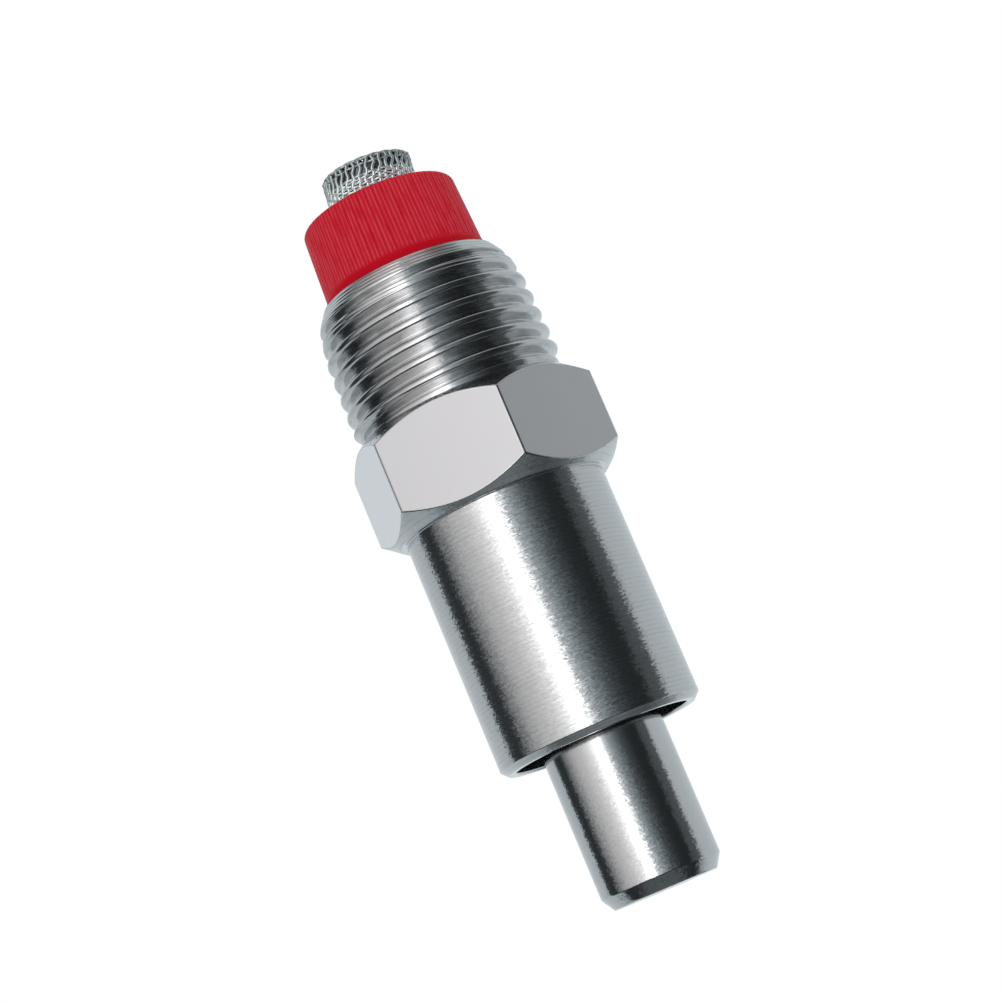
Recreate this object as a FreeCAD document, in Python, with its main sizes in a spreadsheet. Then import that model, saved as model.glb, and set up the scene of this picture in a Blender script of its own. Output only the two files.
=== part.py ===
import FreeCAD, Part
import math
import os
import Sketcher

# Pig nipple drinker, in millimetres.
# +Z runs along the axis towards the inlet, and zero is the hexagon's face on the thread side.

doc = FreeCAD.newDocument("pig_nipple_drinker")

sizes = {
    # Inlet with a half inch taper pipe thread: 14 turns to the inch, 1 in 16 on the diameter
    "inlet_length": 13.7,
    "gauge_dia": 20.955,
    "gauge_length": 8.2,
    "taper_ratio": 16,
    "thread_pitch": 1.814,
    "thread_depth": 1.162,
    "thread_angle": 55,
    "thread_start": 1.47,
    "groove_excess": 0.3,
    "neck_length": 1.6,
    "neck_slope": 0.5,
    "neck_drop": 0.47,
    "lead_in_length": 1.5,
    "lead_in_drop": 0.5,
    "run_in_length": 3,
    "inlet_lip": 1.3,
    # Hexagon for a spanner, its corners turned down to a cone at both ends
    "across_flats": 22,
    "hex_length": 10.2,
    "hex_face_drop": 0.5,
    "hex_bevel": 39,
    # Barrel, open at the mouth
    "barrel_dia": 19.8,
    "barrel_length": 23.3,
    "rim_chamfer": 0.6,
    "barrel_wall": 1.4,
    # Chamber behind the valve seat
    "chamber_depth": 17.5,
    "seat_thickness": 3.5,
    # Steel pin with its valve flange
    "pin_dia": 11.7,
    "pin_reach": 14.9,
    "tip_chamfer_width": 0.8,
    "tip_chamfer_height": 1.3,
    "flange_overhang": 1.25,
    "flange_thickness": 2,
    "boss_height": 1.2,
    # Rubber ring under the flange
    "seal_width": 1.05,
    "seal_thickness": 1.6,
    # Coil spring
    "wire_dia": 0.8,
    "coil_dia": 10.6,
    "coil_turns": 3,
    # Ribbed regulator cap
    "cap_height": 8.3,
    "cap_taper": 0.3,
    "cap_round": 1.15,
    "collar_height": 0.9,
    "collar_overlap": 0.6,
    "rib_set_back": 0.05,
    "rib_count": 60,
    "rib_depth": 0.22,
    "spigot_length": 5.4,
    "spigot_chamfer": 0.5,
    "recess_wall": 0.45,
    "rim_recess": 1,
    # Strainer cup
    "strainer_dia": 9.2,
    "strainer_reach": 4.4,
    "strainer_wall": 0.35,
    "strainer_corner": 0.6,
    "strainer_rim_thickness": 0.6,
    "slot_count": 34,
    "slot_width": 0.42,
    "slot_height": 1.1,
    "slot_top_gap": 0.9,
    # Clearances, each on one side
    "seat_clearance": 0.65,
    "seal_clearance": 0.3,
    "chamber_clearance": 0.3,
    "boss_clearance": 0.3,
    "spigot_clearance": 0.05,
    "hole_clearance": 0.15,
    "rim_clearance": 0.3,
    "spring_clearance": 0.03,
}

sheet = doc.addObject("Spreadsheet::Sheet", "Sizes")
for row, (alias, value) in enumerate(sizes.items(), 1):
    sheet.set(f"A{row}", alias)
    sheet.set(f"B{row}", str(value))
    sheet.setAlias(f"B{row}", alias)
doc.recompute()

# Heights along the axis that several pieces share, as expressions on the sheet
inlet_end = "Sizes.inlet_length"
hex_middle = "-Sizes.hex_length / 2"
hex_end = "-Sizes.hex_length"
mouth_end = "(-Sizes.hex_length - Sizes.barrel_length)"
seat_top = "(Sizes.inlet_length - Sizes.chamber_depth)"
seat_end = f"({seat_top} - Sizes.seat_thickness)"
flange_base = f"({seat_top} + Sizes.seal_thickness)"
flange_top = f"({flange_base} + Sizes.flange_thickness)"
cap_top = f"({inlet_end} + Sizes.cap_height)"
ribs_base = f"({inlet_end} + Sizes.collar_height)"
spigot_end = f"({inlet_end} - Sizes.spigot_length)"
recess_top = f"({spigot_end} + Sizes.rim_recess)"
rim_base = f"({recess_top} - Sizes.strainer_rim_thickness)"
strainer_top = f"({cap_top} + Sizes.strainer_reach)"

# Radii that several pieces share
pin_side = "Sizes.pin_dia / 2"
barrel_side = "Sizes.barrel_dia / 2"
chamber_side = f"({pin_side} + Sizes.seal_clearance + Sizes.seal_width + Sizes.chamber_clearance)"
spigot_side = f"({chamber_side} - Sizes.spigot_clearance)"
recess_side = f"({spigot_side} - Sizes.spigot_chamfer - Sizes.recess_wall)"


def origin_feature(body, role):
    return next(f for f in body.Origin.OriginFeatures if f.Role == role)


def add_sketch(body, name, role):
    sketch = body.newObject("Sketcher::SketchObject", name)
    sketch.AttachmentSupport = [(origin_feature(body, role), "")]
    sketch.MapMode = "FlatFace"
    return sketch


def draw_outline(sketch, corners):
    """A closed outline of straight lines, each corner held by two expressions."""
    first = sketch.GeometryCount
    count = len(corners)
    for i in range(count):
        start = FreeCAD.Vector(i, i * i + 1, 0)
        after = (i + 1) % count
        end = FreeCAD.Vector(after, after * after + 1, 0)
        sketch.addGeometry(Part.LineSegment(start, end), False)
    for i in range(count):
        after = first + (i + 1) % count
        sketch.addConstraint(Sketcher.Constraint("Coincident", first + i, 2, after, 1))
    for i, (across, along) in enumerate(corners):
        for kind, value in (("DistanceX", across), ("DistanceY", along)):
            number = sketch.addConstraint(Sketcher.Constraint(kind, -1, 1, first + i, 1, 1.0))
            sketch.setExpression(f"Constraints[{number}]", value)


def turn(body, name, *outlines, kind="PartDesign::Revolution"):
    """Turns outlines of (radius, height) corners about the axis, adding or cutting."""
    sketch = add_sketch(body, f"{name}_profile", "XZ_Plane")
    for corners in outlines:
        draw_outline(sketch, corners)
    doc.recompute()
    feature = body.newObject(kind, name)
    feature.Profile = sketch
    feature.ReferenceAxis = (sketch, ["V_Axis"])
    feature.Angle = 360
    doc.recompute()
    return feature


def repeat_round(body, name, feature, count):
    """Repeats a feature evenly round the axis."""
    pattern = body.newObject("PartDesign::PolarPattern", name)
    pattern.Originals = [feature]
    pattern.Axis = (origin_feature(body, "Z_Axis"), [""])
    pattern.Angle = 360
    pattern.setExpression("Occurrences", count)
    body.Tip = pattern
    doc.recompute()
    return pattern


def new_body(name):
    body = doc.addObject("PartDesign::Body", name)
    body.Label = name
    return body


def crest_radius(height):
    """Radius over the thread's crests, which is the gauge radius at the gauge plane and shrinks towards the inlet."""
    to_gauge = f"(Sizes.inlet_length - Sizes.gauge_length - ({height}))"
    return f"(Sizes.gauge_dia / 2 + {to_gauge} / (2 * Sizes.taper_ratio))"


def cut_thread(body):
    """Sharp-rooted right-hand groove, swept along a helix that lies on the taper's cone."""
    crest = crest_radius("Sizes.thread_start")
    root = f"({crest} - Sizes.thread_depth)"
    path = doc.addObject("Part::Helix", "thread_path")
    path.Style = "New style"
    path.SegmentLength = 1
    path.setExpression("Pitch", "Sizes.thread_pitch")
    path.setExpression("Height", inlet_end)
    path.setExpression("Radius", root)
    path.setExpression("Angle", "-atan(1 / (2 * Sizes.taper_ratio))")
    path.setExpression("Placement.Base.z", "Sizes.thread_start")
    section = add_sketch(body, "thread_section", "XZ_Plane")
    half = "(Sizes.thread_depth + Sizes.groove_excess) * tan(Sizes.thread_angle / 2)"
    draw_outline(section, [
        (root, "Sizes.thread_start"),
        (f"{crest} + Sizes.groove_excess", f"Sizes.thread_start - {half}"),
        (f"{crest} + Sizes.groove_excess", f"Sizes.thread_start + {half}"),
    ])
    doc.recompute()
    groove = body.newObject("PartDesign::SubtractivePipe", "thread_groove")
    groove.Profile = section
    groove.Spine = (path, [f"Edge{i + 1}" for i in range(len(path.Shape.Edges))])
    groove.Mode = "Frenet"
    doc.recompute()


def make_steel_body():
    """Turned body: threaded inlet, hexagon, barrel, and the bores from both ends that leave the valve seat."""
    body = new_body("steel_body")
    lead_in_base = f"({inlet_end} - Sizes.lead_in_length)"
    run_in_base = f"({lead_in_base} - Sizes.run_in_length)"
    neck_crest = crest_radius("Sizes.neck_length")
    neck = f"({neck_crest} - Sizes.neck_drop)"
    turn(body, "turned_blank", [
        ("0", inlet_end),
        (f"{chamber_side} + Sizes.inlet_lip", inlet_end),
        (f"{crest_radius(lead_in_base)} - Sizes.lead_in_drop", lead_in_base),
        (crest_radius(run_in_base), run_in_base),
        (neck_crest, "Sizes.neck_length"),
        (neck, "Sizes.neck_length - Sizes.neck_slope"),
        (neck, hex_middle),
        (barrel_side, hex_middle),
        (barrel_side, f"{mouth_end} + Sizes.rim_chamfer"),
        (f"{barrel_side} - Sizes.rim_chamfer", mouth_end),
        ("0", mouth_end),
    ])

    hexagon = add_sketch(body, "hexagon_outline", "XY_Plane")
    corner = "Sizes.across_flats / (2 * cos(30))"
    draw_outline(hexagon, [(f"{corner} * cos({a})", f"{corner} * sin({a})") for a in range(30, 390, 60)])
    doc.recompute()
    pad = body.newObject("PartDesign::Pad", "hexagon")
    pad.Profile = hexagon
    pad.setExpression("Length", "Sizes.hex_length")
    pad.Reversed = True
    doc.recompute()

    face = "(Sizes.across_flats / 2 - Sizes.hex_face_drop)"
    outside = f"({corner} + 1)"
    drop = f"({outside} - {face}) * tan(Sizes.hex_bevel)"
    turn(
        body, "hexagon_bevels",
        [(face, "0"), (outside, "0"), (outside, f"-{drop}")],
        [(face, hex_end), (outside, hex_end), (outside, f"{hex_end} + {drop}")],
        kind="PartDesign::Groove",
    )

    cut_thread(body)

    seat_hole = f"{pin_side} + Sizes.seat_clearance"
    mouth = f"{barrel_side} - Sizes.barrel_wall"
    turn(body, "bores", [
        ("0", inlet_end),
        (chamber_side, inlet_end),
        (chamber_side, seat_top),
        (seat_hole, seat_top),
        (seat_hole, seat_end),
        (mouth, seat_end),
        (mouth, mouth_end),
        ("0", mouth_end),
    ], kind="PartDesign::Groove")
    return body


def make_nipple_pin():
    """Solid pin that hangs in the barrel, with the valve flange and a boss that centres the spring."""
    body = new_body("nipple_pin")
    tip = f"({mouth_end} - Sizes.pin_reach)"
    flange = f"{pin_side} + Sizes.flange_overhang"
    boss = "((Sizes.coil_dia - Sizes.wire_dia) / 2 - Sizes.boss_clearance)"
    turn(body, "turned_pin", [
        ("0", tip),
        (f"{pin_side} - Sizes.tip_chamfer_width", tip),
        (pin_side, f"{tip} + Sizes.tip_chamfer_height"),
        (pin_side, flange_base),
        (flange, flange_base),
        (flange, flange_top),
        (boss, flange_top),
        (boss, f"{flange_top} + Sizes.boss_height"),
        ("0", f"{flange_top} + Sizes.boss_height"),
    ])
    return body


def make_seal_ring():
    """Flat rubber ring between the seat and the flange."""
    body = new_body("seal_ring")
    inside = f"{pin_side} + Sizes.seal_clearance"
    outside = f"{inside} + Sizes.seal_width"
    turn(body, "ring", [
        (inside, seat_top),
        (outside, seat_top),
        (outside, flange_base),
        (inside, flange_base),
    ])
    return body


def make_return_spring():
    """Coil spring from the pin's flange to the strainer's rim, its wire drawn six-sided."""
    body = new_body("return_spring")
    corner = "Sizes.wire_dia / (2 * cos(30))"
    centre = f"({flange_top} + Sizes.spring_clearance + Sizes.wire_dia / 2)"
    rise = f"({rim_base} - {flange_top} - 2 * Sizes.spring_clearance - Sizes.wire_dia)"
    section = add_sketch(body, "wire_section", "XZ_Plane")
    draw_outline(section, [
        (f"Sizes.coil_dia / 2 + {corner} * cos({a})", f"{centre} + {corner} * sin({a})")
        for a in range(0, 360, 60)
    ])
    doc.recompute()
    coil = body.newObject("PartDesign::AdditiveHelix", "coil")
    coil.Profile = section
    coil.ReferenceAxis = (section, ["V_Axis"])
    coil.Mode = "pitch-height-angle"
    coil.setExpression("Pitch", f"{rise} / Sizes.coil_turns")
    coil.setExpression("Height", rise)
    doc.recompute()
    return body


def make_ribbed_skirt():
    """Ribbed side of the cap: toothed outlines that keep their proportions up the side and over the round shoulder."""
    value = {alias: float(sheet.get(alias)) for alias in sizes}
    base = value["inlet_length"] + value["collar_height"]
    top = value["inlet_length"] + value["cap_height"]
    bend = value["cap_round"]
    ring_side = value["pin_dia"] / 2 + value["seal_clearance"] + value["seal_width"]
    collar = ring_side + value["chamber_clearance"] + value["collar_overlap"]
    base_radius = collar - value["rib_set_back"]
    top_radius = base_radius - value["cap_taper"]
    levels = [(base_radius, base)]
    for angle in (0, 30, 60, 90):
        turned = math.radians(angle)
        levels.append((top_radius - bend * (1 - math.cos(turned)), top - bend * (1 - math.sin(turned))))
    teeth = int(value["rib_count"])
    root_share = 1 - value["rib_depth"] / base_radius
    outlines = []
    for radius, height in levels:
        corners = []
        for i in range(2 * teeth + 1):
            reach = radius * (root_share if i % 2 else 1)
            turned = math.pi * i / teeth
            corners.append(FreeCAD.Vector(reach * math.cos(turned), reach * math.sin(turned), height))
        outlines.append(Part.makePolygon(corners))
    skirt = doc.addObject("Part::Feature", "ribbed_skirt")
    skirt.Shape = Part.makeLoft(outlines, True, True)
    return skirt


def make_regulator_cap():
    """Moulded cap: a smooth collar, fine ribs over the shoulder, and a spigot that plugs the inlet."""
    skirt = make_ribbed_skirt()
    body = new_body("regulator_cap")
    body.BaseFeature = skirt
    doc.recompute()
    collar = f"({chamber_side} + Sizes.collar_overlap)"
    core = f"({ribs_base} + Sizes.collar_height)"
    turn(body, "collar_and_spigot", [
        ("0", spigot_end),
        (f"{spigot_side} - Sizes.spigot_chamfer", spigot_end),
        (spigot_side, f"{spigot_end} + Sizes.spigot_chamfer"),
        (spigot_side, inlet_end),
        (collar, inlet_end),
        (collar, ribs_base),
        ("Sizes.strainer_dia / 2", core),
        ("0", core),
    ])
    hole = "(Sizes.strainer_dia / 2 + Sizes.hole_clearance)"
    turn(body, "strainer_hole", [
        ("0", spigot_end),
        (recess_side, spigot_end),
        (recess_side, recess_top),
        (hole, recess_top),
        (hole, cap_top),
        ("0", cap_top),
    ], kind="PartDesign::Groove")
    return body


def make_strainer():
    """Wire strainer as a thin cup: its rim sits under the cap and its slotted end stands out of it."""
    body = new_body("strainer")
    outer = "Sizes.strainer_dia / 2"
    inner = "(Sizes.strainer_dia / 2 - Sizes.strainer_wall)"
    corner = "Sizes.strainer_corner"
    rim = f"{recess_side} - Sizes.rim_clearance"
    turn(body, "cup", [
        (inner, rim_base),
        (rim, rim_base),
        (rim, recess_top),
        (outer, recess_top),
        (outer, f"{strainer_top} - {corner}"),
        (f"{outer} - {corner}", strainer_top),
        ("0", strainer_top),
        ("0", f"{strainer_top} - Sizes.strainer_wall"),
        (inner, f"{strainer_top} - Sizes.strainer_wall"),
    ])
    opening = add_sketch(body, "slot_outline", "YZ_Plane")
    top = f"({strainer_top} - Sizes.slot_top_gap)"
    base = f"({top} - Sizes.slot_height)"
    draw_outline(opening, [
        ("-Sizes.slot_width / 2", base),
        ("Sizes.slot_width / 2", base),
        ("Sizes.slot_width / 2", top),
        ("-Sizes.slot_width / 2", top),
    ])
    doc.recompute()
    slot = body.newObject("PartDesign::Pocket", "slot")
    slot.Profile = opening
    slot.setExpression("Length", "Sizes.strainer_dia")
    doc.recompute()
    repeat_round(body, "slots", slot, "Sizes.slot_count")
    return body


pieces = [
    make_steel_body(),
    make_nipple_pin(),
    make_seal_ring(),
    make_return_spring(),
    make_regulator_cap(),
    make_strainer(),
]
doc.recompute()

for thing in doc.Objects:
    if "Invalid" in thing.State or "Error" in thing.State:
        raise RuntimeError(f"{thing.Name} failed: {thing.State}")
for piece in pieces:
    if piece.Shape.isNull() or not piece.Shape.isValid() or len(piece.Shape.Solids) != 1:
        raise RuntimeError(f"{piece.Label} isn't one valid solid")

os.makedirs("parts", exist_ok=True)
for piece in pieces:
    piece.Shape.exportStep(f"parts/{piece.Label}.step")
    print(piece.Label, round(piece.Shape.Volume, 1), "mm3")
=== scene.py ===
import math

import bmesh
import bpy
import numpy as np
from mathutils import Matrix, Vector


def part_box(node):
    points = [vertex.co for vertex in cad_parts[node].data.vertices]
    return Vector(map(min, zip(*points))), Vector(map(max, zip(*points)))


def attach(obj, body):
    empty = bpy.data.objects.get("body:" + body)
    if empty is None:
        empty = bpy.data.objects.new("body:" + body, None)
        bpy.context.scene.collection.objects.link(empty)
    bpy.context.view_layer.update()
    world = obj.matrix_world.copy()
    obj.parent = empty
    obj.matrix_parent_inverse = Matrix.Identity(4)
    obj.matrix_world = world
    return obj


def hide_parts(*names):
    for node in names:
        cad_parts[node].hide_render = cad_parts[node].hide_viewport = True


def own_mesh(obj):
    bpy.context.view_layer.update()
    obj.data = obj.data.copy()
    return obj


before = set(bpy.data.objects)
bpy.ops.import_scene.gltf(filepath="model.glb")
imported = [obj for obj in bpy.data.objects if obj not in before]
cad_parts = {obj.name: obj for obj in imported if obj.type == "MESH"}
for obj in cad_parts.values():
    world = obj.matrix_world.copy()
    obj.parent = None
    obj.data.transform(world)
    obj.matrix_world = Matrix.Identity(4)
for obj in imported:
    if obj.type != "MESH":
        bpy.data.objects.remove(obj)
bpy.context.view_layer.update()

# Pig nipple drinker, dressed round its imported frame. Sizes in the dictionaries are millimetres.
mm = 0.001
scene = bpy.context.scene
cameraAngle = math.radians(253.4)       # where the camera stands round the axis
towardsCamera = np.array([math.cos(cameraAngle), math.sin(cameraAngle), 0])
cameraRight = np.array([-math.sin(cameraAngle), math.cos(cameraAngle), 0])
mergeDistance = 1e-7                    # metres; points closer than this become one


def boxOf(node):
    # lowest and highest corner of a CAD node, in millimetres
    low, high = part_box(node)
    return low / mm, high / mm


bodyLow, bodyHigh = boxOf("steel_body")
pinLow, pinHigh = boxOf("nipple_pin")
capLow, capHigh = boxOf("regulator_cap")
springLow, springHigh = boxOf("return_spring")
strainerLow, strainerHigh = boxOf("strainer")
print("frame loaded")


# Meshes


def softLine(corners, step, edge):
    # Straight runs through (radius, height) corners. A run of length L has points at 0, edge,
    # then evenly at most a step apart up to L - edge, so that shading turns only near corners.
    corners = np.array(corners, float)
    parts = []
    for start, end in zip(corners[:-1], corners[1:]):
        length = np.linalg.norm(end - start)
        near = min(edge, length / 3)
        inner = np.linspace(near, length - near, max(2, math.ceil((length - 2 * near) / step) + 1))
        share = np.concatenate([[0.0], inner])[:, None] / length
        parts.append(start + (end - start) * share)
    parts.append(corners[-1:])
    return np.concatenate(parts)


def gridQuads(rows, cols, closeRows=False):
    # Quads of a grid whose last column meets the first. They face outwards when the rows
    # run down the outside and the columns run anticlockwise.
    r = np.arange(rows if closeRows else rows - 1)[:, None]
    c = np.arange(cols)[None, :]
    here, below = r * cols, (r + 1) % rows * cols
    after = (c + 1) % cols
    quads = np.stack([here + c, below + c, below + after, here + after], -1)
    return quads.reshape(-1, 4)


def roundGrid(radius, height, angle):
    # point = (radius cos angle, radius sin angle, height), for whole arrays
    radius, height, angle = np.broadcast_arrays(radius, height, angle)
    points = np.stack([radius * np.cos(angle), radius * np.sin(angle), height], -1)
    return points.reshape(-1, 3)


def evenAngles(count):
    return np.arange(count) * (2 * math.pi / count)


def turned(line, columns, closed):
    # a (radius, height) outline turned about the axis, as (points, quads)
    points = roundGrid(line[:, :1], line[:, 1:], evenAngles(columns)[None, :])
    return points, gridQuads(len(line), columns, closed)


def joinParts(parts):
    # several (points, quads) pairs as one pair
    points = np.concatenate([p for p, q in parts])
    starts = np.cumsum([0] + [len(p) for p, q in parts[:-1]])
    quads = np.concatenate([q + s for (p, q), s in zip(parts, starts)])
    return points, quads


def addPiece(name, points, quads, material, body, nodes, masks=None):
    # points in millimetres; coinciding points, such as a pole's, become one
    mesh = bpy.data.meshes.new(name)
    mesh.vertices.add(len(points))
    mesh.vertices.foreach_set("co", (points * mm).astype(np.float32).ravel())
    mesh.loops.add(quads.size)
    mesh.loops.foreach_set("vertex_index", quads.astype(np.int32).ravel())
    mesh.polygons.add(len(quads))
    mesh.polygons.foreach_set("loop_start", np.arange(0, quads.size, 4, dtype=np.int32))
    for maskName, values in (masks or {}).items():
        layer = mesh.attributes.new(maskName, "FLOAT", "POINT")
        layer.data.foreach_set("value", values.astype(np.float32).ravel())
    mesh.update(calc_edges=True)
    work = bmesh.new()
    work.from_mesh(mesh)
    bmesh.ops.remove_doubles(work, verts=work.verts, dist=mergeDistance)
    bmesh.ops.dissolve_degenerate(work, edges=work.edges, dist=mergeDistance / 10)
    work.to_mesh(mesh)
    work.free()
    mesh.polygons.foreach_set("use_smooth", np.ones(len(mesh.polygons), bool))
    mesh.update()
    mesh.materials.append(material)
    piece = bpy.data.objects.new(name, mesh)
    scene.collection.objects.link(piece)
    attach(piece, body)
    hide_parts(*nodes)
    print(name, "has", sum(len(p.vertices) - 2 for p in mesh.polygons), "triangles")
    return piece


# Shader maths


class Value:
    # a socket whose arithmetic adds Math nodes
    def __init__(self, tree, socket):
        self.tree, self.socket = tree, socket

    def math(self, operation, *others):
        inputs = {0: self, **dict(enumerate(others, 1))}
        return self.tree.node("ShaderNodeMath", {"operation": operation}, inputs)

    def __add__(self, other):
        return self.math("ADD", other)

    def __radd__(self, other):
        return self.math("ADD", other)

    def __sub__(self, other):
        return self.math("SUBTRACT", other)

    def __rsub__(self, other):
        return self.tree.node("ShaderNodeMath", {"operation": "SUBTRACT"}, {0: other, 1: self})

    def __mul__(self, other):
        return self.math("MULTIPLY", other)

    def __rmul__(self, other):
        return self.math("MULTIPLY", other)


class Shader:
    # a node tree, emptied and then filled by methods that return the new node's output
    def __init__(self, tree):
        self.nodes, self.links = tree.nodes, tree.links
        self.nodes.clear()

    def node(self, kind, settings=None, inputs=None, output=0):
        # adds a node, sets its settings first and then the values or links of its sockets
        made = self.nodes.new(kind)
        for key, value in (settings or {}).items():
            if key == "stops":
                self.setStops(made.color_ramp, value)
            else:
                setattr(made, key, value)
        for key, value in (inputs or {}).items():
            socket = made.inputs[key]
            if isinstance(value, Value):
                self.links.new(value.socket, socket)
            else:
                socket.default_value = value
        return Value(self, made.outputs[output]) if len(made.outputs) else made

    def setStops(self, ramp, stops):
        # stops are (position, grey level) or (position, colour)
        ramp.elements.remove(ramp.elements[1])
        ramp.elements[0].position = stops[0][0]
        made = [ramp.elements[0]] + [ramp.elements.new(position) for position, level in stops[1:]]
        for element, (position, level) in zip(made, stops):
            element.color = (*level, 1) if isinstance(level, tuple) else (level, level, level, 1)

    def part(self, vector, axis):
        # one coordinate of a vector
        return self.node("ShaderNodeSeparateXYZ", None, {0: vector}, axis)

    def mask(self, name):
        # a number that the mesh carries on its points
        return self.node("ShaderNodeAttribute", {"attribute_name": name}, None, "Fac")

    def vector(self, operation, first, second, output=0):
        return self.node("ShaderNodeVectorMath", {"operation": operation}, {0: first, 1: second}, output)

    def scaled(self, vector, factor):
        return self.node("ShaderNodeVectorMath", {"operation": "SCALE"}, {0: vector, "Scale": factor})

    def place(self):
        # the point's own coordinates on the piece, in millimetres
        return self.scaled(self.node("ShaderNodeTexCoord", None, None, "Object"), 1 / mm)

    def stretched(self, vector, scale):
        return self.vector("MULTIPLY", vector, scale)

    def noise(self, vector, scale=1.0, detail=2.0, roughness=0.5):
        return self.node("ShaderNodeTexNoise", None, {
            "Vector": vector, "Scale": scale, "Detail": detail, "Roughness": roughness,
        }, "Fac")

    def ramp(self, value, stops):
        return self.node("ShaderNodeValToRGB", {"stops": stops}, {0: value}, "Color")

    def smooth(self, value, low, high):
        # 0 below low, 1 above high and a smooth step between
        return self.node("ShaderNodeMapRange", {"interpolation_type": "SMOOTHSTEP"}, {
            "Value": value, "From Min": low, "From Max": high,
        }, "Result")

    def atLeast(self, least, value):
        # a value from 0 to 1 squeezed into least to 1
        return value * (1 - least) + least

    def blend(self, factor, first, second):
        # a mix of two colours
        inputs = {"Factor": factor, 6: first, 7: second}
        return self.node("ShaderNodeMix", {"data_type": "RGBA"}, inputs, 2)

    def bump(self, height, distance):
        return self.node("ShaderNodeBump", None, {"Height": height, "Distance": distance})

    def facets(self, vector, tilt):
        # normal = normalised (surface normal + (the cell's random vector - 0.5) * tilt)
        cell = self.node("ShaderNodeTexVoronoi", None, {"Vector": vector, "Scale": 1.0}, "Color")
        offset = self.scaled(self.vector("SUBTRACT", cell, (0.5, 0.5, 0.5)), tilt)
        normal = self.node("ShaderNodeNewGeometry", None, None, "Normal")
        leaning = self.vector("ADD", normal, offset)
        return self.node("ShaderNodeVectorMath", {"operation": "NORMALIZE"}, {0: leaning})


def newMaterial(name, paint):
    # a material whose surface is what paint returns as the inputs of a Principled shader
    made = bpy.data.materials.new(name)
    made.use_nodes = True
    tree = Shader(made.node_tree)
    surface = tree.node("ShaderNodeBsdfPrincipled", None, paint(tree))
    tree.node("ShaderNodeOutputMaterial", None, {"Surface": surface})
    return made


steelLook = {
    "colour": (0.635, 0.635, 0.64, 1),
    "dullColour": (0.40, 0.41, 0.415, 1),
    "pinGrainColour": (0.60, 0.60, 0.605, 1),
    # painted light and shade of the milled flats: the colour of the darkest and of the lightest flat
    "flatShadeColour": (0.50, 0.49, 0.50, 1),
    "flatLightColour": (0.97, 0.955, 0.97, 1),
    "tarnish": (0.28, 0.275, 0.25, 1),
    "tarnishShare": 0.42,
    # feed marks of the turning tool, how unevenly they run in radians, and where their wave shows
    "ringPitch": 0.46, "finePitch": 0.21, "ringWander": 4.0, "fineWander": 6.0,
    "ringShare": 0.6, "markLevels": (0.15, 0.85),
    # how much they dull the steel: on the whole, added on the inlet's cones, added by the streaks,
    # and the share that is left between the streaks
    "wear": 0.44, "inletWear": 0.5, "streakWear": 0.12, "betweenStreaks": 0.3,
    "streakLevels": (0.30, 0.70), "stainLevels": (0.46, 0.70),
    # how far the facets of the worked surface lean, and the share of it that is left elsewhere
    "facetTilt": 0.15, "pinFacetTilt": 0.15,
    "boreLean": 0.15, "flatLean": 0.08, "threadLean": 0.35, "pinTopLean": 0.2,
    "roughness": 0.12, "pinRoughness": 0.10, "milledRoughness": 0.28, "cloudRoughness": 0.04,
    # spots to the millimetre across and along the axis
    "facetScale": (4.2, 4.2, 9.0), "pinFacetScale": (7.0, 7.0, 7.0), "leanScale": (2.6, 2.6, 4.0),
    "wanderScale": (0.04, 0.04, 0.5), "streakScale": (0.5, 0.5, 3.6), "stainScale": (0.34, 0.34, 1.6),
    "cloudScale": 0.35, "grainScale": 3.0,
    # where one finish turns into another
    "threadHeights": (-0.2, 0.4),
    "inletHeights": (11.8, 12.4),
    "skinRadii": (8.55, 8.80),                  # inside these the steel is plainer
    "pinDepths": (34.0, 37.5),                  # down the pin, from inside the barrel to bare
    "flatLevels": (0.0, 0.4), "flatLightLevels": (0.5, 1.0),       # of the mask of the flats, whose levels also carry each flat's painted light
}


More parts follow.
